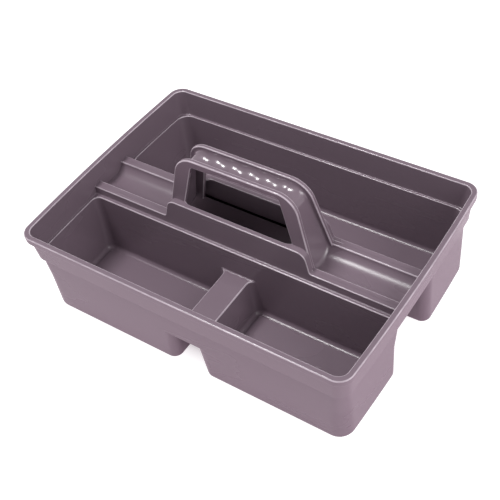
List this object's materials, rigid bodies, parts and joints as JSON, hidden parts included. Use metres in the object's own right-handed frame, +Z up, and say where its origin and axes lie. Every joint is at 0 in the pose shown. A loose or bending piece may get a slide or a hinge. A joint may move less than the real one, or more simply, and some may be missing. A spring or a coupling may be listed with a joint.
{
  "type": "tool storage caddy",
  "caption": "Open carry caddy with a divided front well, a long rear well, small-parts trays and a fixed centre grip, moulded in plastic.",
  "frame": {"origin": "under the middle of the caddy, in the plane its bins stand on", "axes": "+X along the long side, +Y from the divided well towards the long rear well, +Z up"},
  "size_m": [0.4076, 0.2886, 0.1752],
  "materials": {
    "satin_plastic": "satin moulded grey-mauve polypropylene",
    "grip_plastic": "the same polypropylene, smoother in the grip and down the legs"
  },
  "bodies": {
    "root": {"rim_flange": "satin_plastic", "upper_wall": "satin_plastic", "front_well_wall": "satin_plastic", "front_left_bin": "satin_plastic", "front_right_bin": "satin_plastic", "rear_bin": "satin_plastic", "divider_saddle": "satin_plastic", "left_tray": "satin_plastic", "right_tray": "satin_plastic", "front_guard": "satin_plastic", "rear_guard": "satin_plastic", "handle_front_flange": "satin_plastic", "handle_rear_flange": "satin_plastic", "grip_web": "grip_plastic", "left_leg_web": "grip_plastic", "right_leg_web": "grip_plastic"}
  },
  "joints": []
}
